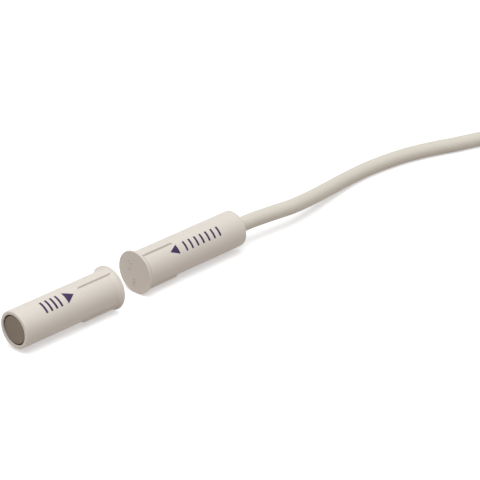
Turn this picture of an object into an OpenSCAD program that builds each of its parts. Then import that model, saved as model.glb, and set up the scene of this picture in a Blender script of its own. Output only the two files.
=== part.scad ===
// Recessed magnetic contact: a magnet half and a switch half, both moulded tubes with a thin
// front flange and crush ribs, lying in line with their sensing faces towards each other.
// The pair lies along X with the cable towards +X, Z is up, and the surface that they lie on is Z = 0.

/* [Housings] */
// Outside diameter of both tubes, the size of the hole that they fit
tube_d = 8; // [7:0.1:9]
// Diameter of the flange that stops each half in its hole
flange_d = 9.4; // [9:0.1:12]
// Thickness of the flange's thin lip
lip_t = 0.5; // [0.4:0.1:1]
// Length of the flare from the lip to the tube
flare_len = 0.8; // [0.4:0.1:2]
// Radius of the lip's rounded edges
lip_edge_r = 0.15; // [0.1:0.01:0.19]
// Diameter of the bore in both tubes
bore_d = 6.5; // [6:0.1:6.8]
// Thickness of the closed front wall
front_wall = 1.2; // [0.8:0.1:2]
// Radius of the rounded outer edge of each open end
mouth_edge_r = 0.3; // [0.1:0.05:0.35]
// Length of the magnet half's housing
magnet_housing_len = 25.4; // [22:0.1:32]
// Length of the switch half's housing
switch_housing_len = 28.7; // [25:0.1:34]

/* [Crush ribs] */
// Number of ribs round each tube
rib_count = 3; // [2:1:6]
// Height of a rib above the tube
rib_h = 0.4; // [0.2:0.05:0.5]
// Width of a rib at the tube
rib_w = 0.6; // [0.5:0.05:1.6]
// Width of a rib's flat crest
rib_crest = 0.3; // [0.1:0.02:0.4]
// Distance from the magnet half's front face to the end of its ribs
magnet_rib_end = 10; // [5:0.1:12]
// Distance from the switch half's front face to the end of its ribs
switch_rib_end = 9.4; // [5:0.1:12]
// Length of the slope at a rib's end
rib_slope = 0.5; // [0.2:0.1:1.5]
// Turn of the first rib from the top, about the tube's axis
rib_turn = -17; // [-60:1:60]

/* [Magnet] */
// Diameter of the bar magnet
magnet_d = 6; // [5:0.1:6]
// Depth of the magnet's end face below the tube's rear end
magnet_recess = 0.2; // [0:0.1:2]
// Rounding of the magnet's two ends
magnet_edge_r = 0.15; // [0.05:0.01:0.3]
// Thickness of the adhesive under the magnet
adhesive_t = 0.3; // [0.1:0.05:0.6]
// Depth of the adhesive's edge below the magnet's end face
adhesive_below = 0.2; // [0.2:0.1:15]

/* [Reed switch] */
// Diameter of the glass envelope
glass_d = 2; // [1.8:0.1:2.2]
// Distance from the front face to the front end of the glass
glass_start = 4; // [3.6:0.1:4.2]
// Length of the solid glass seal round each lead
seal_len = 1.6; // [1:0.1:2]
// Wall thickness of the glass envelope
glass_wall = 0.25; // [0.2:0.01:0.3]
// Diameter of the leads
lead_d = 0.5; // [0.4:0.01:0.55]
// Distance of the glass, and of the returned lead, from the tube's axis
lead_offset = 1.2; // [1.1:0.01:1.25]
// Width of the flattened blades
blade_w = 1; // [0.8:0.05:1.1]
// Thickness of the flattened blades
blade_t = 0.2; // [0.1:0.01:0.24]
// Open gap between the two blades
contact_gap = 0.06; // [0.02:0.01:0.1]
// Length over which the blades overlap
blade_overlap = 1.2; // [0.6:0.1:2]
// Outside diameter of the sleeve on the returned lead
sleeve_d = 0.9; // [0.7:0.05:1]
// Length of the rear lead, and of the returned lead, behind the glass
lead_tail = 1.6; // [1.2:0.1:1.8]
// Room for the soldered joints, from the rear end of the glass to the cable's jacket
joint_room = 6.4; // [6.2:0.1:8]

/* [Cable] */
// Outside diameter of the cable
cable_d = 3.3; // [3.2:0.05:3.5]
// Inside diameter of the cable's jacket
jacket_bore = 2.5; // [2.45:0.01:2.6]
// Diameter of each insulated core
core_d = 0.96; // [0.8:0.01:0.98]
// Spacing of the four cores, side by side
core_pitch = 1; // [0.98:0.01:1.02]
// Diameter of a core's conductor
conductor_d = 0.44; // [0.3:0.01:0.5]
// Length of jacket inside the housing
inlet_len = 4.6; // [4:0.1:5]
// Length of each core's insulation in front of the jacket
core_free = 1.6; // [1.2:0.1:1.8]
// Thickness of the resin at the bore's wall
resin_len = 3.6; // [3:0.1:4]
// Depth of the resin's edge below the tube's rear end
resin_recess = 0.4; // [0.2:0.1:1]
// Rise of the resin from the bore's wall to the cable
resin_rise = 0.7; // [0.3:0.1:1.2]

/* [How the pair lies] */
// Distance between the two sensing faces
face_gap = 8; // [2:0.1:20]
// Sideways distance between the two axes
side_shift = 1.1; // [0:0.1:3]

/* [Hank of spare cable] */
// Distance between the middles of the hank's two round ends
run_len = 54; // [50:1:62]
// Radius of the inner turns at the hank's ends
fold_r = 9.9; // [9.9:0.1:11]
// Turns side by side in the hank
hank_columns = 2; // [2:1:3]
// Layers of turns in the hank
hank_rows = 5; // [3:1:6]
// Thickness of the tie's band
tie_t = 0.6; // [0.4:0.1:1]
// Width of the tie's band
tie_w = 2.5; // [2:0.1:4]
// Side of the tie's square head
tie_head = 4; // [3:0.1:5]
// Thickness of the tie's head
tie_head_t = 2.4; // [2:0.1:4]
// Length of the band's cut end that stands out of the head
tie_end = 1.5; // [0.5:0.5:20]
// Length of the stripped cores at the bare end
tail_len = 16; // [12:1:18]
// Length of the tinned conductor at each stripped core
tip_len = 5; // [3:0.5:8]

/* [Hidden] */
$fn = 64;

tube_r = tube_d / 2;
flange_r = flange_d / 2;
bore_r = bore_d / 2;
magnet_r = magnet_d / 2;
cable_r = cable_d / 2;
// Height of both axes: each half lies on its flange
axis_h = flange_r;
// Depth to which a rib is rooted in the tube's wall
rib_root = 0.3;

// Flat steps in the curve of the resin's surface
resin_steps = 6;

// Rear end of the resin, where the cable leaves the switch half, as a distance behind the front face
exit_s = switch_housing_len - resin_recess + resin_rise;
pair_len = magnet_housing_len + face_gap + exit_s;
magnet_face_x = magnet_housing_len - pair_len / 2;
switch_face_x = magnet_face_x + face_gap;

// Stations along the switch half, as distances behind its front face
inlet_start = exit_s - inlet_len;
core_start = inlet_start - core_free;
glass_end = inlet_start - joint_room;
glass_len = glass_end - glass_start;
glass_mid = glass_start + glass_len / 2;
lead_end = glass_end + lead_tail;
// Straight piece of the front lead between the glass and its bend
bend_lead = 0.4;
// Length of round lead inside the glass cavity, before it is flattened
flatten_len = 0.5;
glass_end_r = 0.5;

// Soldered joints: each swallows the end of a lead and the end of a core's conductor
joint_bite = 0.7;
joint_len = 2;
joint_skin = 0.1;
joint_edge = 0.25;
joint_up = (lead_offset + core_pitch / 2) / 2;
joint_r = (lead_offset - core_pitch / 2) / 2 + lead_d / 2 + joint_skin;
joint_start = lead_end - joint_bite;
signal_wire_start = joint_start + joint_bite / 2;
tamper_len = 1.5;
tamper_r = core_pitch / 2 + conductor_d / 2 + joint_skin;
tamper_gap = 0.3;
tamper_start = core_start - tamper_len - tamper_gap;
tamper_wire_start = tamper_start + tamper_len / 4;
sleeve_clear = 0.03;
sleeve_end_gap = 0.3;

// The hank lies on its tie's band. Each turn is two half circles and two runs that close up to the
// tie in the middle, where the runs of both sides lie against each other.
hank_centre = [167.5, -0.5];
hank_in_r = fold_r - cable_r;
hank_out_r = hank_in_r + hank_columns * cable_d;
hank_turn_r = hank_out_r - cable_r;
hank_top = tie_t + hank_rows * cable_d;
waist_half = 2;
hole_from = 6;
round_step = 10;
run_step = 2;
end_step = 5;
tie_corner_r = 1;

// The cable meets the outer turn at this angle of the near round end; its tube stops a little before
// that, where it would run into the turn
join_at = 250;
join_before = 10;

// What lies on top of the hank: the last of the cable and its cores end these distances past the middle
top_z = hank_top + cable_r;
end_x = -6;
tail_end_x = end_x + tail_len;
tip_end_x = tail_end_x + tip_len;

// The four cores in the cable: [upwards, sideways] from its middle
white_at = [core_pitch / 2, core_pitch / 2];
brown_at = [-core_pitch / 2, core_pitch / 2];
green_at = [core_pitch / 2, -core_pitch / 2];
yellow_at = [-core_pitch / 2, -core_pitch / 2];
CORES = [white_at, brown_at, green_at, yellow_at];

// Points along the middle of the free cable, chosen by hand between the resin and the hank
route_points = [
    [36, 0.5, 4.7], [42, 0.1, 4.5], [48, -0.1, 4.1], [54, 0.7, 3.5], [60, 2, 2.8], [66, 3.3, 2.2],
    [72, 4.3, 1.8], [78, 4.6, 1.7], [84, 4.2, 1.7], [90, 3.3, 1.7], [96, 1.6, 1.7], [102, -0.7, 1.7],
    [108, -2.7, 1.7], [114, -4.9, 1.8], [120, -7.1, 2]];
join_dir = [-sin(join_at), cos(join_at), 0];
join_point = [hank_centre.x - run_len / 2 + hank_turn_r * cos(join_at),
    hank_centre.y + hank_turn_r * sin(join_at), tie_t + cable_r];
lead_route = concat([[switch_face_x + exit_s, side_shift / 2, axis_h]], route_points,
    [join_point - join_before * join_dir]);
cable_sides = 8;

// Places its children with +Z running back from the magnet half's front face and +X up
module in_magnet_half() {
    translate([magnet_face_x, -side_shift / 2, axis_h]) rotate([0, -90, 0]) children();
}

// Places its children with +Z running back from the switch half's front face and +X up
module in_switch_half() {
    translate([switch_face_x, side_shift / 2, axis_h]) mirror([1, 0, 0]) rotate([0, -90, 0]) children();
}

// A square from the origin whose two corners away from x = 0 are rounded
module rounded_far_side(w, h, r) {
    square([w - r, h]);
    translate([0, r]) square([w, h - 2 * r]);
    translate([w - r, r]) circle(r);
    translate([w - r, h - r]) circle(r);
}

// A square with four rounded corners, its lowest corner at the origin
module rounded_square(w, h, r) {
    translate([r, 0]) square([w - 2 * r, h]);
    translate([0, r]) square([w, h - 2 * r]);
    for (x = [r, w - r])
        for (y = [r, h - r])
            translate([x, y]) circle(r);
}

// Section of a housing from its axis outwards: lip, flare, tube with a rounded mouth, blind bore
module housing_section(len) {
    difference() {
        union() {
            rounded_far_side(flange_r, lip_t, lip_edge_r);
            polygon([[0, lip_t / 2], [flange_r - lip_edge_r, lip_t], [tube_r, lip_t + flare_len],
                [0, lip_t + flare_len]]);
            translate([0, lip_t]) square([tube_r, len - lip_t - mouth_edge_r]);
            square([tube_r - mouth_edge_r, len]);
            translate([tube_r - mouth_edge_r, len - mouth_edge_r]) circle(mouth_edge_r);
        }
        translate([0, front_wall]) square([bore_r, len]);
    }
}

// One crush rib: a wedge along the tube whose rear end slopes down to it. Its flanks and its sloped end
// go on in straight lines into the tube's wall.
module crush_rib(rib_end) {
    root_r = tube_r - rib_root;
    crest_r = tube_r + rib_h;
    flank_x = sqrt(pow(tube_r, 2) - pow(rib_w / 2, 2));
    flank_run = (rib_w - rib_crest) / 2 / (crest_r - flank_x);
    root_w = rib_crest + 2 * flank_run * (crest_r - root_r);
    end_run = rib_slope / rib_h;
    intersection() {
        rotate_extrude()
            polygon([[root_r, lip_t / 2], [crest_r + rib_h, lip_t / 2],
                [crest_r + rib_h, rib_end - 2 * rib_slope], [root_r, rib_end + rib_root * end_run]]);
        linear_extrude(rib_end + rib_slope)
            polygon([[root_r, -root_w / 2], [crest_r, -rib_crest / 2], [crest_r, rib_crest / 2],
                [root_r, root_w / 2]]);
    }
}

module housing(len, rib_end) {
    rotate_extrude() housing_section(len);
    for (i = [0 : rib_count - 1])
        rotate(rib_turn + i * 360 / rib_count) crush_rib(rib_end);
}

module magnet_housing() {
    color([0.88, 0.85, 0.81]) in_magnet_half() housing(magnet_housing_len, magnet_rib_end);
}

module magnet() {
    color([0.4, 0.36, 0.33])
        in_magnet_half()
            translate([0, 0, front_wall + adhesive_t])
                rotate_extrude()
                    rounded_far_side(magnet_r, magnet_housing_len - magnet_recess - front_wall - adhesive_t,
                        magnet_edge_r);
}

// Adhesive under the magnet and up its side, nearly to its end
module magnet_adhesive() {
    side_h = magnet_housing_len - magnet_recess - adhesive_below - front_wall - adhesive_t;
    color([0.16, 0.12, 0.1])
        in_magnet_half()
            translate([0, 0, front_wall])
                difference() {
                    cylinder(r = bore_r, h = adhesive_t + side_h);
                    translate([0, 0, adhesive_t]) cylinder(r = magnet_r, h = side_h);
                }
}

module switch_housing() {
    color([0.88, 0.85, 0.81]) in_switch_half() housing(switch_housing_len, switch_rib_end);
}

// Places its children on the line of the reed, in the plane of the two signal cores
module on_reed_line(up) {
    in_switch_half() translate([up, core_pitch / 2, 0]) children();
}

module reed_glass() {
    color([0.75, 0.85, 0.8, 0.5])
        on_reed_line(lead_offset)
            translate([0, 0, glass_start])
                rotate_extrude()
                    difference() {
                        rounded_far_side(glass_d / 2, glass_len, glass_end_r);
                        square([lead_d / 2, glass_len]);
                        translate([0, seal_len])
                            square([glass_d / 2 - glass_wall, glass_len - 2 * seal_len]);
                    }
}

// A flattened blade between two stations, on the side of the reed's middle that side gives
module flat_blade(from, to, side) {
    translate([side * (contact_gap + blade_t) / 2, 0, (from + to) / 2])
        cube([blade_t, blade_w, to - from], center = true);
}

module front_blade() {
    bend_s = glass_start - bend_lead;
    color([0.72, 0.7, 0.66]) {
        on_reed_line(lead_offset) {
            translate([0, 0, bend_s]) cylinder(d = lead_d, h = bend_lead + seal_len + flatten_len);
            flat_blade(glass_start + seal_len + flatten_len / 2, glass_mid + blade_overlap / 2, 1);
        }
        on_reed_line(0)
            translate([0, 0, bend_s])
                rotate([90, 0, 0])
                    rotate([0, 0, 180])
                        rotate_extrude(angle = 180) translate([lead_offset, 0]) circle(d = lead_d);
        on_reed_line(-lead_offset)
            translate([0, 0, bend_s]) cylinder(d = lead_d, h = lead_end - bend_s);
    }
}

module rear_blade() {
    lead_from = glass_end - seal_len - flatten_len;
    color([0.72, 0.7, 0.66])
        on_reed_line(lead_offset) {
            translate([0, 0, lead_from]) cylinder(d = lead_d, h = lead_end - lead_from);
            flat_blade(glass_mid - blade_overlap / 2, glass_end - seal_len - flatten_len / 2, -1);
        }
}

module return_sleeve() {
    color([0.2, 0.35, 0.2])
        on_reed_line(-lead_offset)
            difference() {
                translate([0, 0, glass_start])
                    cylinder(d = sleeve_d, h = joint_start - sleeve_end_gap - glass_start);
                cylinder(r = lead_d / 2 + sleeve_clear, h = joint_start);
            }
}

// A bead of solder along Z with sloped ends
module solder_bead(r, len) {
    rotate_extrude()
        polygon([[0, 0], [r - joint_edge, 0], [r, joint_edge], [r, len - joint_edge],
            [r - joint_edge, len], [0, len]]);
}

// The bead between a lead and a signal core, above the axis for side 1 and below it for side -1
module signal_joint(side) {
    color([0.7, 0.7, 0.68])
        difference() {
            on_reed_line(side * joint_up) translate([0, 0, joint_start]) solder_bead(joint_r, joint_len);
            on_reed_line(side * lead_offset) cylinder(d = lead_d, h = lead_end);
            on_reed_line(side * core_pitch / 2)
                translate([0, 0, signal_wire_start]) cylinder(d = conductor_d, h = joint_len);
        }
}

module rear_joint() {
    signal_joint(1);
}

module front_joint() {
    signal_joint(-1);
}

module tamper_joint() {
    color([0.7, 0.7, 0.68])
        in_switch_half()
            difference() {
                translate([0, -core_pitch / 2, tamper_start]) solder_bead(tamper_r, tamper_len);
                for (at = [green_at, yellow_at])
                    translate([at.x, at.y, tamper_wire_start])
                        cylinder(d = conductor_d, h = tamper_len);
            }
}

// Insulation of one core, from its stripped end to the resin's rear end
module core_insulation(at) {
    in_switch_half()
        translate([at.x, at.y, core_start])
            difference() {
                cylinder(d = core_d, h = exit_s - core_start);
                cylinder(d = conductor_d, h = exit_s - core_start);
            }
}

module core_white() {
    color("white") core_insulation(white_at);
}

module core_brown() {
    color([0.4, 0.25, 0.15]) core_insulation(brown_at);
}

module core_green() {
    color([0.15, 0.5, 0.25]) core_insulation(green_at);
}

module core_yellow() {
    color([0.9, 0.8, 0.2]) core_insulation(yellow_at);
}

module conductors() {
    color([0.8, 0.5, 0.3])
        in_switch_half()
            for (at = CORES) {
                from = at.y > 0 ? signal_wire_start : tamper_wire_start;
                translate([at.x, at.y, from]) cylinder(d = conductor_d, h = exit_s - from);
            }
}

module cable_inlet() {
    color([0.85, 0.84, 0.78])
        in_switch_half()
            translate([0, 0, inlet_start])
                difference() {
                    cylinder(r = cable_r, h = inlet_len);
                    cylinder(d = jacket_bore, h = inlet_len);
                }
}

// The resin's surface is a hollow curve: it rises towards the cable with the square of the way covered
module resin_seal() {
    rim_s = switch_housing_len - resin_recess;
    curve = [for (i = [0 : resin_steps])
        let (way = i / resin_steps)
        [bore_r + (cable_r - bore_r) * way, rim_s + resin_rise * pow(way, 2)]];
    color([0.8, 0.78, 0.72])
        in_switch_half()
            rotate_extrude()
                polygon(concat([[cable_r, rim_s - resin_len], [bore_r, rim_s - resin_len]], curve));
}

// Unit direction of a line of points at point i, with the directions first and last given at its ends
function line_dir(points, i, first, last) =
    let (d = i == 0 ? first
        : i == len(points) - 1 ? last
        : points[i + 1] - points[i - 1])
    d / norm(d);

// Corners of a tube's ring at point i of a line, with an edge neither on top nor underneath
function ring(points, i, r, first, last) =
    let (ahead = line_dir(points, i, first, last))
    let (side = cross([0, 0, 1], ahead) / norm(cross([0, 0, 1], ahead)))
    let (up = cross(ahead, side))
    [for (k = [0 : cable_sides - 1])
        let (a = (k + 0.5) * 360 / cable_sides)
        points[i] + r * (cos(a) * side + sin(a) * up)];

// A tube with flat ends along a line of points
module tube(points, r, first, last) {
    rings = len(points);
    corners = [for (i = [0 : rings - 1]) each ring(points, i, r, first, last)];
    walls = [for (i = [0 : rings - 2]) for (k = [0 : cable_sides - 1])
        let (n = (k + 1) % cable_sides, a = i * cable_sides, b = a + cable_sides)
        [a + k, b + k, b + n, a + n]];
    start = [for (k = [0 : cable_sides - 1]) k];
    end = [for (k = [cable_sides - 1 : -1 : 0]) (rings - 1) * cable_sides + k];
    polyhedron(corners, concat(walls, [start, end]));
}

module cable_lead() {
    color([0.85, 0.84, 0.78]) tube(lead_route, cable_r, [1, 0, 0], join_dir);
}

// How far the runs have closed up at a distance x from the hank's middle: not at all at the round ends,
// all the way at the tie, with a smooth step between
function closed_up(x) =
    let (way = min(1, (run_len / 2 - abs(x)) / (run_len / 2 - waist_half)))
    hank_in_r * way * way * (3 - 2 * way);

// Right half of the outline of a turn of radius r, from the middle or from a distance x0 past it
function half_outline(r, x0) = concat(
    [for (x = [x0 : run_step : run_len / 2 - run_step]) [x, closed_up(x) - r]],
    [for (a = [-90 : round_step : 90]) [run_len / 2 + r * cos(a), r * sin(a)]],
    [for (x = [run_len / 2 - run_step : -run_step : x0]) [x, r - closed_up(x)]]);

module cable_hank() {
    color([0.85, 0.84, 0.78])
        translate([hank_centre.x, hank_centre.y, tie_t])
            linear_extrude(hank_rows * cable_d)
                difference() {
                    polygon(concat(half_outline(hank_out_r, 0), -half_outline(hank_out_r, run_step)));
                    polygon(half_outline(hank_in_r, hole_from));
                    mirror([1, 0]) polygon(half_outline(hank_in_r, hole_from));
                }
}

// A point on top of the hank, over the front run of its inner turn
function on_top(x, side, up) =
    [hank_centre.x + x, hank_centre.y - fold_r + closed_up(x) - side, top_z + up];

module cable_end() {
    bend = [for (a = [90 : 30 : 270])
        [hank_centre.x - run_len / 2 + fold_r * cos(a), hank_centre.y + fold_r * sin(a), top_z]];
    run = [for (x = [-run_len / 2 + end_step : end_step : end_x]) on_top(x, 0, 0)];
    color([0.85, 0.84, 0.78]) tube(concat(bend, run), cable_r, [-1, 0, 0], [1, 0, 0]);
}

// A tube over the run, beside the cable's own middle
module on_run(at, r, from_x, to_x) {
    count = 5;
    line = [for (i = [0 : count]) on_top(from_x + (to_x - from_x) * i / count, at.y, at.x)];
    tube(line, r, [1, 0, 0], line[count] - line[count - 1]);
}

module tail_white() {
    color("white") on_run(white_at, core_d / 2, end_x, tail_end_x);
}

module tail_brown() {
    color([0.4, 0.25, 0.15]) on_run(brown_at, core_d / 2, end_x, tail_end_x);
}

module tail_green() {
    color([0.15, 0.5, 0.25]) on_run(green_at, core_d / 2, end_x, tail_end_x);
}

module tail_yellow() {
    color([0.9, 0.8, 0.2]) on_run(yellow_at, core_d / 2, end_x, tail_end_x);
}

module tinned_tips() {
    color([0.75, 0.75, 0.74])
        for (at = CORES)
            on_run(at, conductor_d / 2, tail_end_x, tip_end_x);
}

// A band round the hank's middle, with a square head on its front and the band's cut end above it
module cable_tie() {
    wide = 2 * hank_columns * cable_d;
    high = hank_rows * cable_d;
    head_y = -wide / 2 - tie_t / 2 - tie_head_t;
    color([0.92, 0.92, 0.9])
        translate([hank_centre.x, hank_centre.y, 0]) {
            rotate([90, 0, 90])
                translate([0, 0, -tie_w / 2])
                    linear_extrude(tie_w)
                        difference() {
                            translate([-wide / 2 - tie_t, 0])
                                rounded_square(wide + 2 * tie_t, high + 2 * tie_t, tie_corner_r);
                            translate([-wide / 2, tie_t]) square([wide, high]);
                        }
            translate([-tie_head / 2, head_y, (hank_top - tie_head) / 2])
                cube([tie_head, tie_head_t, tie_head]);
            translate([-tie_w / 2, head_y + (tie_head_t - tie_t) / 2, hank_top / 2])
                cube([tie_w, tie_t, tie_head / 2 + tie_end]);
        }
}

magnet_housing();
magnet();
magnet_adhesive();
switch_housing();
reed_glass();
front_blade();
rear_blade();
return_sleeve();
front_joint();
rear_joint();
tamper_joint();
core_white();
core_brown();
core_green();
core_yellow();
conductors();
cable_inlet();
resin_seal();
cable_lead();
cable_hank();
cable_end();
cable_tie();
tail_white();
tail_brown();
tail_green();
tail_yellow();
tinned_tips();
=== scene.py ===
# %% [markdown]
# # Looks of a recessed magnetic contact
# The contact is a pair of moulded tubes: a magnet half, and a switch half with its cable. Their
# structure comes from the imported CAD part, in metres. This script adds the camera, the cable's real
# turns, the stripped cores at its end, the collar of resin, the marks on both halves and the materials.
# The pair could be modelled again here, but dressing the CAD nodes themselves keeps every size true.
#
# The row's frame: X runs along both housings towards the cable, Z is up, the surface is Z = 0.

import math

import bpy
import numpy as np
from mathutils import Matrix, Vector


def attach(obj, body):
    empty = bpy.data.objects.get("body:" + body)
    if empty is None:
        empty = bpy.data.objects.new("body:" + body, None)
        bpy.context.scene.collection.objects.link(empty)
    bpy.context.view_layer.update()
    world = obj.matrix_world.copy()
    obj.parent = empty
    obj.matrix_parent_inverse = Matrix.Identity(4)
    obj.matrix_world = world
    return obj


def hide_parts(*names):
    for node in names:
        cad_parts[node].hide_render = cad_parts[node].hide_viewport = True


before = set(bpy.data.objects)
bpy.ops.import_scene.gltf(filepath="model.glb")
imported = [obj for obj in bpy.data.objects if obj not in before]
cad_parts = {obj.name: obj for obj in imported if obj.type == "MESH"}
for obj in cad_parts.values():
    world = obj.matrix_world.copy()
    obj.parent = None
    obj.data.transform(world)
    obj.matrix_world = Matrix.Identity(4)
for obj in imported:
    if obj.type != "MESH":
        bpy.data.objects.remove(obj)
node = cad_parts
scene = bpy.context.scene
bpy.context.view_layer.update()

# %% [markdown]
# ## Places on the pair
# Both halves lie on the surface with their sensing faces towards each other, a little out of line. What
# is added to them below takes its place from these values, so that nothing is placed by eye.

# %% Places in metres
MAGNET_FACE = -0.0058
SWITCH_FACE = 0.0022
MAGNET_Y = -0.00055
SWITCH_Y = 0.00055
AXIS_Z = 0.0047
TUBE_R = 0.004
print("gap between the faces in mm:", round((SWITCH_FACE - MAGNET_FACE) * 1000, 1))

# %% [markdown]
# ## Camera
# The photograph looks at the magnet half's open end from above. A camera can be set by eye, or fitted to
# points whose places are known. This one was fitted to the rims, the axes and the ribs of both halves:
# it stands half a metre away with a long lens, so the halves hardly grow smaller towards the back.

# %% Camera
LOOK_ALONG = Vector((0.6395, 0.627, -0.4449))
camera = bpy.data.objects.new("camera", bpy.data.cameras.new("camera"))
scene.collection.objects.link(camera)
scene.camera = camera
camera.data.sensor_width = 36
camera.data.lens = 183.96
camera.data.clip_start = 0.01
camera.location = (-0.3004, -0.32625, 0.2331)
camera.rotation_mode = "QUATERNION"
camera.rotation_quaternion = LOOK_ALONG.to_track_quat("-Z", "Y")
print("camera distance in m:", round(camera.location.length, 3))

# %% [markdown]
# ## How the finishes are made
# Moulded plastic, metal and rubber differ in colour, in gloss and in a very fine grain. A picture could
# be laid on each piece, but it would need unwrapping. Here each finish is one shader, and the grain is
# a noise on object coordinates, so it keeps its real size: a grain of 0.2 mm is a noise of scale
# 1 / 0.0002, and it lifts the surface by some thousandths of a millimetre.


# %% Helpers for materials
def new_material(name, colour, roughness, metallic=0.0, **more):
    """A Principled material with its constants on the shader's sockets; an underscore in the name of a
    further socket stands for a space."""
    material = bpy.data.materials.new(name)
    material.use_nodes = True
    shader = material.node_tree.nodes["Principled BSDF"]
    shader.inputs["Base Color"].default_value = (*colour, 1)
    shader.inputs["Roughness"].default_value = roughness
    shader.inputs["Metallic"].default_value = metallic
    for socket, value in more.items():
        shader.inputs[socket.replace("_", " ")].default_value = value
    return material


def link(material, source, target):
    """Join an output to an input in that material."""
    material.node_tree.links.new(source, target)


def add_node(material, kind, **values):
    """A shader node of that kind; values are its inputs by name."""
    made = material.node_tree.nodes.new(kind)
    for name, value in values.items():
        made.inputs[name].default_value = value
    return made


# %% Grain and mottle
def add_grain(material, size, depth, stretch=(1, 1, 1)):
    """A bump of noise: height = depth * noise(stretch * place / size), in metres, so that the grains are
    longer along an axis where stretch is below 1."""
    shader = material.node_tree.nodes["Principled BSDF"]
    place = material.node_tree.nodes.new("ShaderNodeTexCoord").outputs["Object"]
    mapping = add_node(material, "ShaderNodeMapping", Scale=stretch)
    link(material, place, mapping.inputs["Vector"])
    noise = add_node(material, "ShaderNodeTexNoise", Scale=1 / size, Detail=3.0)
    link(material, mapping.outputs["Vector"], noise.inputs["Vector"])
    bump = add_node(material, "ShaderNodeBump", Strength=1.0, Distance=depth)
    link(material, noise.outputs["Fac"], bump.inputs["Height"])
    link(material, bump.outputs["Normal"], shader.inputs["Normal"])


def add_mottle(material, size, share):
    """Brightness of the colour times 1 - share to 1 + share, by a noise of that size in metres."""
    shader = material.node_tree.nodes["Principled BSDF"]
    place = material.node_tree.nodes.new("ShaderNodeTexCoord").outputs["Object"]
    blotch = add_node(material, "ShaderNodeTexNoise", Scale=1 / size, Detail=2.0)
    link(material, place, blotch.inputs["Vector"])
    value = add_node(material, "ShaderNodeMapRange")
    value.inputs["To Min"].default_value = 1 - share
    value.inputs["To Max"].default_value = 1 + share
    link(material, blotch.outputs["Fac"], value.inputs["Value"])
    tint = add_node(material, "ShaderNodeHueSaturation")
    tint.inputs["Color"].default_value = shader.inputs["Base Color"].default_value
    link(material, value.outputs["Result"], tint.inputs["Value"])
    link(material, tint.outputs["Color"], shader.inputs["Base Color"])


# %% [markdown]
# ## Housings and ink
# Both housings are one pale, warm plastic with the satin skin of a mould. Its grain is too fine to be
# seen as dots and only softens the gloss, so the bump is very shallow. The raised marks of the mould
# are a darker tint of the plastic: painted shade at their edges. The ink is a dark violet that lies on the
# plastic.

# %% Plastic and ink
plastic = new_material("housing_plastic", (0.768, 0.664, 0.592), 0.42, Specular_IOR_Level=0.25)
add_grain(plastic, 0.00025, 0.000004)
add_mottle(plastic, 0.005, 0.02)
# painted shade: the mould marks get this darker tint of the plastic for the shade at their edges
painted_shade_plastic = new_material("painted_shade_plastic", (0.56, 0.46, 0.39), 0.5)
ink = new_material("ink", (0.052, 0.023, 0.082), 0.45, Specular_IOR_Level=0.25)
print("finishes of the housings:", [m.name for m in (plastic, painted_shade_plastic, ink)])

# %% [markdown]
# ## Magnet and adhesive
# The magnet is a dark, ground metal that fills the open end. As a full metal it would mirror the white
# surround, so it is rough and three quarters metallic, with faint upright marks of grinding: a noise
# that is stretched five times along Z. The adhesive round it has hardly any gloss, and its near black is
# partly its own colour and partly painted shade of the gap round the magnet.

# %% Metal and adhesive
magnet_metal = new_material("magnet_metal", (0.155, 0.115, 0.085), 0.48, 0.75)
add_grain(magnet_metal, 0.00015, 0.000010, (1, 1, 0.2))
add_mottle(magnet_metal, 0.003, 0.12)
# partly painted shade: the adhesive's near black also stands for the shade in the gap round the magnet
adhesive = new_material("adhesive", (0.055, 0.03, 0.02), 0.8, Specular_IOR_Level=0.15)
print("finishes in the open end:", [m.name for m in (magnet_metal, adhesive)])

# %% [markdown]
# ## Inside of the switch half
# Nothing of the reed switch is seen from outside, but the model can be opened. So its parts get their
# real finishes too: a greenish glass envelope, bright flattened leads, a dark sleeve, blobs of solder,
# bare copper and a glossy resin.

# %% Glass, leads, solder and resin
glass = new_material("envelope_glass", (0.80, 0.92, 0.85), 0.02, Transmission_Weight=1.0, IOR=1.5)
blade_metal = new_material("blade_metal", (0.62, 0.60, 0.56), 0.28, 1.0)
add_grain(blade_metal, 0.0001, 0.000002, (0.1, 1, 1))
sleeve = new_material("sleeve_plastic", (0.12, 0.20, 0.14), 0.5)
solder = new_material("solder", (0.66, 0.66, 0.66), 0.3, 1.0)
add_grain(solder, 0.0004, 0.00002)
copper = new_material("copper", (0.82, 0.44, 0.28), 0.3, 1.0)
resin = new_material("resin", (0.56, 0.49, 0.41), 0.25)
add_grain(resin, 0.0006, 0.00001)
print("finishes inside:", [m.name for m in (glass, blade_metal, sleeve, solder, copper, resin)])

# %% [markdown]
# ## Cable, cores and tie
# The jacket is a soft, matt plastic close to the housings' colour, and slightly greyer. Its cores have
# the four plain colours of such a cable, their ends are tinned, and the tie is pale nylon that lets a
# little light in.

# %% Jacket, cores, tinned wire and nylon
jacket = new_material("jacket", (0.737, 0.645, 0.556), 0.5, Specular_IOR_Level=0.25)
add_grain(jacket, 0.00035, 0.000008)
add_mottle(jacket, 0.007, 0.02)
nylon = new_material("tie_plastic", (0.86, 0.80, 0.73), 0.4, Subsurface_Weight=0.1, Subsurface_Scale=0.001)
tinned = new_material("tinned_wire", (0.72, 0.72, 0.71), 0.3, 1.0)
add_grain(tinned, 0.0002, 0.00001, (0.4, 0.4, 1))
core = {
    "white": new_material("core_white", (0.84, 0.83, 0.80), 0.4),
    "brown": new_material("core_brown", (0.20, 0.09, 0.05), 0.4),
    "green": new_material("core_green", (0.04, 0.26, 0.09), 0.4),
    "yellow": new_material("core_yellow", (0.80, 0.62, 0.06), 0.4),
}
for made in core.values():
    add_grain(made, 0.0003, 0.000004)
    add_mottle(made, 0.006, 0.02)
print("core colours:", list(core))

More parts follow.
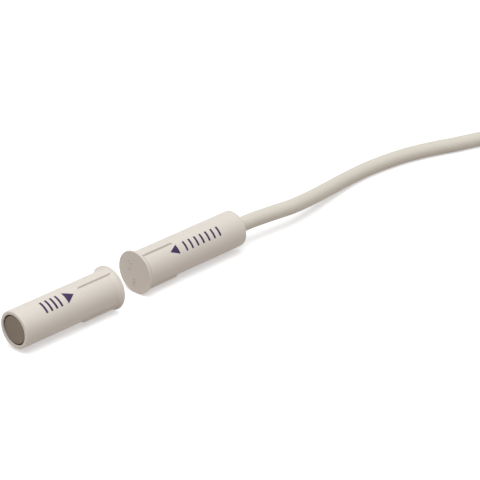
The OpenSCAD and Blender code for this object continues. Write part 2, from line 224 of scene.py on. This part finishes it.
# %% Put the materials on the CAD nodes
worn_by = {
    "magnet_housing": plastic, "switch_housing": plastic, "magnet": magnet_metal, "magnet_adhesive": adhesive,
    "reed_glass": glass, "front_blade": blade_metal, "rear_blade": blade_metal, "return_sleeve": sleeve,
    "front_joint": solder, "rear_joint": solder, "tamper_joint": solder, "conductors": copper,
    "cable_inlet": jacket, "resin_seal": resin, "cable_tie": nylon, "tinned_tips": tinned,
    **{f"{part}_{colour}": made for colour, made in core.items() for part in ("core", "tail")},
}
for name, material in worn_by.items():
    node[name].data.materials.clear()
    node[name].data.materials.append(material)
print("materials on", len(worn_by), "nodes")

# %% [markdown]
# ## Free stretch of the cable
# The cable leaves the resin straight, sinks to the surface, sways a little and runs into a tied hank. A
# line could be drawn with a curve object, but the CAD tube already has a route, point by point. The same
# points are used here, with a smooth curve through them.

# %% Route of the free stretch
DIAMETER = 0.0033
lead = np.array([
    [0.0312, 0.00055, 0.0047], [0.036, 0.0005, 0.0047], [0.042, 0.0001, 0.0045], [0.048, -0.0001, 0.0041],
    [0.054, 0.0007, 0.0035], [0.060, 0.002, 0.0028], [0.066, 0.0033, 0.0022], [0.072, 0.0043, 0.0018],
    [0.078, 0.0046, 0.0017], [0.084, 0.0042, 0.0017], [0.090, 0.0033, 0.0017], [0.096, 0.0016, 0.0017],
    [0.102, -0.0007, 0.0017], [0.108, -0.0027, 0.0017], [0.114, -0.0049, 0.0018], [0.120, -0.0071, 0.002],
    [0.12659, -0.00948, 0.00225],
])


def through(points, steps):
    """A smooth line through the points: between two of them the cubic curve whose slope at each is half
    the way between its neighbours, with steps values to each stretch."""
    p = np.vstack([2 * points[0] - points[1], points, 2 * points[-1] - points[-2]])
    t = (np.arange(steps) / steps)[None, :, None]
    a, b, c, d = (p[i : len(p) - 3 + i][:, None] for i in range(4))
    curve = b + t * (c - a) / 2 + t**2 * (a - 2.5 * b + 2 * c - d / 2) + t**3 * (1.5 * (b - c) + (d - a) / 2)
    return np.vstack([curve.reshape(-1, 3), points[-1:]])


def line_length(line):
    """Sum of the distances from each point to the next, in metres."""
    return np.linalg.norm(np.diff(line, axis=0), axis=1).sum()


free_stretch = through(lead, steps=6)
print("free stretch in mm:", round(line_length(free_stretch) * 1000, 1))

# %% [markdown]
# ## The hank
# The spare cable is folded into ten long turns, two side by side and five layers high, and lies on its
# tie's band. It could be a simulated rope, but a formula gives turns that never cut into each other. A
# turn is two half circles and two runs. The runs close up towards the tie by a smooth step
# s = 3 w^2 - 2 w^3 of the way w from a round end to the middle. Between the tie and the near round end
# each turn steps over to the next place: beside it, or up a layer, where it swings half a diameter
# aside to clear its neighbour.

# %% Sizes of the hank
MIDDLE = np.array([0.1675, -0.0005])
HALF_RUN = 0.027
WAIST = 0.002
FOLD = 0.0099
BAND = 0.0006
TURNS = 10
FLOOR = BAND + DIAMETER / 2
TOP = FLOOR + TURNS // 2 * DIAMETER
JACKET_END = 0.006
# Shares of a turn: one run, one round end, the start of the step to the next place, and its length
RUN, END, STEP_AT, STEP_SHARE = 0.3, 0.2, 0.667, 0.127
# How far a turn swings aside while it goes up a layer, in diameters
SWING = 0.55
long, high_side = 2 * (HALF_RUN + FOLD + 1.5 * DIAMETER), TOP + DIAMETER / 2
print("hank in mm:", round(1000 * long, 1), "long,", round(1000 * high_side, 1), "high")


# %% Turns of the hank
def step(way):
    """A smooth step from 0 to 1: 3 w^2 - 2 w^3, flat at both ends."""
    way = np.clip(way, 0, 1)
    return way * way * (3 - 2 * way)


def closed_up(x):
    """How far the runs have moved towards the middle line at a distance x from the tie: all the way to
    touching it, times the smooth step of (half run - x) / (half run - waist)."""
    return (FOLD - DIAMETER / 2) * step((HALF_RUN - np.abs(x)) / (HALF_RUN - WAIST))


def hank(t):
    """Places of the cable's middle, t turns into the hank. Each turn goes along the front run, round the
    far end, along the back run and round the near end: x = run + radius cos(angle), y = radius
    sin(angle) less what the runs close up, and z = floor + layer * diameter."""
    turn = np.floor(t)
    f = t - turn
    way = step((f - STEP_AT) / STEP_SHARE)
    column = np.array([0, 1, 1, 0])
    here, after = column[turn.astype(int) % 4], column[(turn.astype(int) + 1) % 4]
    layer = turn // 2 + ((turn + 1) // 2 - turn // 2) * way
    swing = np.where(turn % 2 == 1, np.sin(math.pi * way) * SWING * DIAMETER, 0)
    radius = FOLD + DIAMETER * (1 - here - (after - here) * way) + np.where(here == 0, swing, -swing)
    far, back, near = RUN, RUN + END, 2 * RUN + END
    stretches = [f < far, f < back, f < near]
    x = np.select(stretches, [f / RUN * 2 - 1, 1.0, 1 - (f - back) / RUN * 2], -1.0) * HALF_RUN
    rate = 180 / END
    angle = np.radians(np.select(stretches, [-90, (f - far) * rate - 90, 90], 90 + (f - near) * rate))
    y = radius * np.sin(angle) - np.sign(np.sin(angle)) * closed_up(x) * (np.abs(x) < HALF_RUN)
    return np.column_stack([MIDDLE[0] + x + radius * np.cos(angle), MIDDLE[1] + y, FLOOR + layer * DIAMETER])


def spaced(line, step_m):
    """The same line with its points that far apart: places read between the old points at even lengths,
    where the length at a point is the sum of the distances before it."""
    along = np.concatenate([[0], np.cumsum(np.linalg.norm(np.diff(line, axis=0), axis=1))])
    even = np.linspace(0, along[-1], int(along[-1] / step_m) + 1)
    return np.column_stack([np.interp(even, along, line[:, k]) for k in range(3)])


LEAD_IN = 0.02
TURN_STEP = 0.0025
POINT_GAP = 0.0011
end_turn = TURNS + RUN * (HALF_RUN - JACKET_END) / (2 * HALF_RUN)
route = np.vstack([free_stretch, hank(np.arange(-LEAD_IN, end_turn, TURN_STEP))])
route = spaced(route, POINT_GAP)

# %% [markdown]
# ## The cable as a tube
# A bevelled curve would make a tube too. A grid of points does it with the rings square to the route,
# one index along the cable and the other round it, and its two ends are closed. Every other added piece
# is a grid of the same kind.


# %% Helpers for grids
def grid_faces(along, across, closed):
    """Corner numbers of the squares between neighbouring points of an along by across grid, where point
    (i, j) has the number i * across + j, and the last column joins the first where it is closed."""
    wide = across if closed else across - 1
    i, j = np.meshgrid(np.arange(along - 1), np.arange(wide), indexing="ij")
    k = (j + 1) % across
    square = np.stack([i * across + j, i * across + k, (i + 1) * across + k, (i + 1) * across + j], -1)
    return square.reshape(-1, 4)


def capped(along, across):
    """Faces of a grid that closes on itself across, with a flat end at its first and its last ring."""
    first = np.arange(across)
    return [*grid_faces(along, across, True), first[::-1], first + (along - 1) * across]


def unit(v):
    """Rows of v divided by their lengths, so that each is 1 long."""
    return v / np.linalg.norm(v, axis=-1, keepdims=True)


def tube(path, radius, sides):
    """Points and faces of a closed tube: at each point of the path a ring of radius times (cos a along
    the level direction across the path + sin a along the direction square to both)."""
    forward = unit(np.gradient(path, axis=0))
    across = unit(np.cross([0.0, 0.0, 1.0], forward))
    upward = np.cross(forward, across)
    a = np.arange(sides) * 2 * math.pi / sides
    ring = across[:, None] * np.cos(a)[None, :, None] + upward[:, None] * np.sin(a)[None, :, None]
    return (path[:, None] + ring * radius).reshape(-1, 3), capped(len(path), sides)


def add_mesh(name, points, faces, material, slot, smooth=True):
    """A mesh object of these points (metres, row frame) and faces that rides on the part's body."""
    mesh = bpy.data.meshes.new(name)
    mesh.from_pydata(np.asarray(points).tolist(), [], [list(map(int, f)) for f in faces])
    mesh.polygons.foreach_set("use_smooth", np.full(len(mesh.polygons), smooth))
    mesh.materials.append(material)
    obj = bpy.data.objects.new(name, mesh)
    scene.collection.objects.link(obj)
    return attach(obj, "root")


# %% Cable
CABLE_SIDES = 24
cable = add_mesh("cable", *tube(route, DIAMETER / 2, CABLE_SIDES), jacket, "jacket")
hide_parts("cable_lead", "cable_hank", "cable_end")
print("faces of the cable:", len(cable.data.polygons))

# %% [markdown]
# ## The bare end
# At the cable's end the jacket is cut back, and four cores fan out and come to rest on the hank, with
# their last 5 mm tinned. The CAD cores are straight. These are tubes whose place beside the run and
# height ease from those in the jacket to those on the hank, so they leave the jacket without a kink.

# %% Cores and tinned tips
CORE_R = 0.00048
TIP_R = 0.00022
CORE_RINGS, CORE_SIDES, TIP_SIDES = 40, 14, 10
# Half the room that a core takes where it rests
CORE_ROOM = 0.0005
# Distances behind the jacket's end, the first one inside it
CORE_START = -0.001
FAN_LEN = 0.016
TIP_END = 0.021
# How far a tip reaches into its core
TIP_IN_CORE = 0.0005
HALF_PITCH = 0.0005
# Height and place beside the run in the jacket, and place beside the run where the core rests
fan = {
    "white": (HALF_PITCH, HALF_PITCH, 0.0030),
    "brown": (-HALF_PITCH, HALF_PITCH, 0.0012),
    "green": (HALF_PITCH, -HALF_PITCH, -0.0020),
    "yellow": (-HALF_PITCH, -HALF_PITCH, -0.0004),
}


def core_line(start, end, up, side, spread):
    """Line of one core from start to end metres behind the jacket's end: its place beside the run goes
    from side to spread, and its height from up to the hank's upper side, by the smooth step."""
    s = np.linspace(start, end, CORE_RINGS)
    ease = step(s / FAN_LEN)
    x = s - JACKET_END
    y = MIDDLE[1] - FOLD + closed_up(x) - side - (spread - side) * ease
    height = TOP + up * (1 - ease) - (DIAMETER / 2 - BAND - CORE_ROOM) * ease
    return np.column_stack([MIDDLE[0] + x, y, height])


on_cable = []
for colour, (up, side, spread) in fan.items():
    line = core_line(CORE_START, FAN_LEN, up, side, spread)
    tail = add_mesh("bare_" + colour, *tube(line, CORE_R, CORE_SIDES), core[colour], "core_" + colour)
    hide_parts("tail_" + colour)
    line = core_line(FAN_LEN - TIP_IN_CORE, TIP_END, up, side, spread)
    tip = add_mesh("tip_" + colour, *tube(line, TIP_R, TIP_SIDES), tinned, "tinned_wire")
    on_cable += [tail, tip]
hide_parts("tinned_tips")
print("tinned length in mm:", round((TIP_END - FAN_LEN) * 1000, 1))

# %% [markdown]
# ## Pieces on the cable
# A cable bends wherever it is laid, but here it is one rigid mesh along one route. The cores and their
# tinned tips are listed with it, and the number of these pieces is printed.

print("pieces on the cable:", len(on_cable) + 1)

# %% [markdown]
# ## Resin at the cable
# Where the cable leaves the switch half, poured resin creeps up the jacket before it sets. The CAD
# resin ends where it meets the jacket, and a collar carries its hollow curve a little further up. It
# could be sculpted, but a revolved profile is enough: radius = end radius + rise (1 - w)^curve at the
# share w of its length. It ends just under the jacket's skin, so no edge stands off the cable.

# %% Resin collar
RESIN_START = 0.0284
COLLAR_LEN = 0.0019
COLLAR_END_R = 0.0016
COLLAR_RISE = 0.00114
COLLAR_CURVE = 1.6
COLLAR_RINGS, COLLAR_SIDES = 14, 48
w = np.linspace(0, 1, COLLAR_RINGS)
a = np.arange(COLLAR_SIDES) * 2 * math.pi / COLLAR_SIDES
radius = COLLAR_END_R + COLLAR_RISE * (1 - w) ** COLLAR_CURVE
x = SWITCH_FACE + RESIN_START + COLLAR_LEN * w
points = np.stack(np.broadcast_arrays(
    x[:, None], SWITCH_Y + radius[:, None] * np.cos(a), AXIS_Z + radius[:, None] * np.sin(a)
), -1)
add_mesh("resin_collar", points.reshape(-1, 3), capped(COLLAR_RINGS, COLLAR_SIDES), resin, "resin")
print("collar length in mm:", round((x[-1] - x[0]) * 1000, 2))

# %% [markdown]
# ## Marks of the mould
# A mould leaves shallow marks on such a face: here plain dots and bars, 0.08 mm proud. A bump in the
# shader would not catch the light at its edges, so each is a small raised patch with sloped sides. A
# row of the list is a place (sideways, up) from the middle of the face, a width and a height, in mm.

# %% Marks on the sensing face
MARK_H = 0.00008
MARK_FOOT = 0.00001
MARK_SLOPE = 0.00012
moulded = np.array([
    [1.67, 2.18, 0.26, 0.26], [0.87, 1.8, 0.26, 0.26], [1.48, 0.47, 0.8, 0.16],
    [0.2, -1.62, 0.7, 0.14], [0.2, -2.2, 0.7, 0.14], [0.2, -2.78, 0.7, 0.14],
]) / 1000


def raised(places):
    """Points and faces of the patches: corner = place + (-1 or 1) * half the size, first four corners of
    the foot, which is a slope wider and sunk in the face, then four of the top."""
    corner = np.array([[-1, -1], [1, -1], [1, 1], [-1, 1]])
    grow = np.array([MARK_SLOPE, 0])[None, :, None, None]
    spot = places[:, None, None, :2] + corner * (places[:, None, None, 2:] + grow) / 2
    height = np.array([-MARK_FOOT, MARK_H])[None, :, None, None]
    proud = np.broadcast_to(height, (*spot.shape[:3], 1))
    points = np.concatenate([SWITCH_FACE - proud, spot + [SWITCH_Y, AXIS_Z]], -1).reshape(-1, 3)
    k = np.arange(4)
    side = np.stack([k, k + 4, (k + 1) % 4 + 4, (k + 1) % 4], -1)
    one = np.vstack([[7, 6, 5, 4], [0, 1, 2, 3], side])
    faces = (one[None] + 8 * np.arange(len(places))[:, None, None]).reshape(-1, 4)
    return points, faces


# painted shade: the marks take the darker tint of the plastic for the shade at their edges
add_mesh("face_marks", *raised(moulded), painted_shade_plastic, "housing_plastic", smooth=False)
print("marks on the sensing face:", len(moulded))

# %% [markdown]
# ## Printed marks
# Plain marks in violet ink show which end of a half is its sensing end: a triangle that points to it,
# and bars. Print could be a colour in the plastic's shader. As thin patches, a few thousandths of a
# millimetre above the tube, the marks keep crisp edges at any distance.

# %% One patch on a tube
INK_R = TUBE_R + 0.000006
ALONG, ACROSS = 13, 17


def patch(face_x, direction, axis_y, start, end, from_start, to_start, from_end, to_end):
    """A patch on a tube between two distances behind its front face, in mm: y = axis + radius
    sin(angle), z = axis + radius cos(angle). Its two edges run straight from one angle to another, in
    degrees from the top and negative towards the camera."""
    along, across = np.meshgrid(np.linspace(0, 1, ALONG), np.linspace(0, 1, ACROSS), indexing="ij")
    first = from_start + (from_end - from_start) * along
    last = to_start + (to_end - to_start) * along
    angle = np.radians(first + (last - first) * across)
    x = face_x + direction * (start + (end - start) * along) / 1000
    points = np.stack([x, axis_y + INK_R * np.sin(angle), AXIS_Z + INK_R * np.cos(angle)], -1)
    faces = grid_faces(ALONG, ACROSS, False)
    return points.reshape(-1, 3), faces if direction < 0 else faces[:, ::-1]


# %% Marks on both halves
BAR = 0.5


def marks(name, face_x, direction, axis_y, triangle, starts, angles):
    """One object of a half's marks: a triangle, and bars between two angles that start at those
    distances behind the face, in mm."""
    bars = [(s, s + BAR, *angles, *angles) for s in starts]
    grids = [patch(face_x, direction, axis_y, *p) for p in (triangle, *bars)]
    points = np.vstack([p for p, _ in grids])
    faces = np.vstack([f + i * ALONG * ACROSS for i, (_, f) in enumerate(grids)])
    add_mesh(name, points, faces, ink, "housing_plastic")
    print(name, "has", len(starts), "bars")


marks(
    "magnet_marks", MAGNET_FACE, -1, MAGNET_Y,
    (11.4, 13.6, -30.5, -29.5, -50, -10), (15, 16.3, 17.6, 18.9), (-50, -10),
)
marks(
    "switch_marks", SWITCH_FACE, 1, SWITCH_Y,
    (7.6, 9.8, -44.5, -43.5, -60, -28), (11.6, 13.2, 14.8, 16.4, 18, 19.6, 21.2), (-60, -28),
)

# %% [markdown]
# ## Floor
# The pair is shown on white. A floor that is truly white would throw much light back at the pale tubes
# from below. So its colour depends on the ray: white with a faint glow for the camera, for gloss and
# for glass, and a middle grey for the light that it throws back. It still takes the pair's shadow.


# %% Rays that see the background
def background_ray(tree):
    """1 for a ray from the camera, off a glossy surface or through glass, and 0 for any other: the
    largest of the three."""
    ray = tree.nodes.new("ShaderNodeLightPath")
    level = ray.outputs["Is Camera Ray"]
    for kind in ("Is Glossy Ray", "Is Transmission Ray"):
        larger = tree.nodes.new("ShaderNodeMath")
        larger.operation = "MAXIMUM"
        tree.links.new(level, larger.inputs[0])
        tree.links.new(ray.outputs[kind], larger.inputs[1])
        level = larger.outputs["Value"]
    return level


# %% Floor
floor_material = new_material("floor", (1, 1, 1), 0.9, Specular_IOR_Level=0.0)
seen = background_ray(floor_material.node_tree)
tone = add_node(
    floor_material, "ShaderNodeMixRGB", Color1=(0.53, 0.49, 0.46, 1), Color2=(0.85, 0.822, 0.814, 1)
)
link(floor_material, seen, tone.inputs["Fac"])
floor_shader = floor_material.node_tree.nodes["Principled BSDF"]
link(floor_material, tone.outputs["Color"], floor_shader.inputs["Base Color"])
floor_shader.inputs["Emission Color"].default_value = (1, 1, 1, 1)
glow = add_node(floor_material, "ShaderNodeMapRange")
glow.inputs["To Max"].default_value = 0.48
link(floor_material, seen, glow.inputs["Value"])
link(floor_material, glow.outputs["Result"], floor_shader.inputs["Emission Strength"])
print("glow of the floor where it is seen:", round(glow.inputs["To Max"].default_value, 2))

# %% Sheet
REACH = 3.0
floor = bpy.data.objects.new("floor", bpy.data.meshes.new("floor"))
corners = [(-REACH, -REACH, 0), (REACH, -REACH, 0), (REACH, REACH, 0), (-REACH, REACH, 0)]
floor.data.from_pydata(corners, [], [(0, 1, 2, 3)])
floor.data.materials.append(floor_material)
scene.collection.objects.link(floor)
print("floor in m:", 2 * REACH, "square")

# %% [markdown]
# ## Light
# The photograph is lit softly from above. A world that is white to the camera, and lower as a light,
# stands for a pale room. One large lamp overhead, a little towards the camera, draws the shading along
# the tubes. Small lamps would draw hard lines that the photograph doesn't have.

# %% Surround
world = bpy.data.worlds.new("studio")
scene.world = world
world.use_nodes = True
tree = world.node_tree
level = tree.nodes.new("ShaderNodeMapRange")
level.inputs["To Min"].default_value = 0.3
level.inputs["To Max"].default_value = 1.0
tree.links.new(background_ray(tree), level.inputs["Value"])
tree.links.new(level.outputs["Result"], tree.nodes["Background"].inputs["Strength"])
tree.nodes["Background"].inputs["Color"].default_value = (1, 1, 1, 1)
print("strength of the world as a light:", round(level.inputs["To Min"].default_value, 2))

# %% Overhead lamp
LAMP_AIM = Vector((0.02, 0, 0))
lamp = bpy.data.objects.new("overhead", bpy.data.lights.new("overhead", "AREA"))
lamp.data.size = 1.0
lamp.data.energy = 9.4
lamp.data.color = (0.90, 1.0, 1.03)
lamp.location = (-0.2, -0.12, 0.9)
lamp.rotation_mode = "QUATERNION"
lamp.rotation_quaternion = (LAMP_AIM - lamp.location).to_track_quat("-Z", "Y")
scene.collection.objects.link(lamp)
print("lamp distance in m:", round(lamp.location.length, 2))

# %% [markdown]
# ## Colours as they are
# Blender's default view softens bright colours, as film does. The Standard view shows a colour as it was
# written, so the plastic can be compared with the photograph.

# %% View transform
scene.view_settings.view_transform = "Standard"
print("view transform:", scene.view_settings.view_transform)
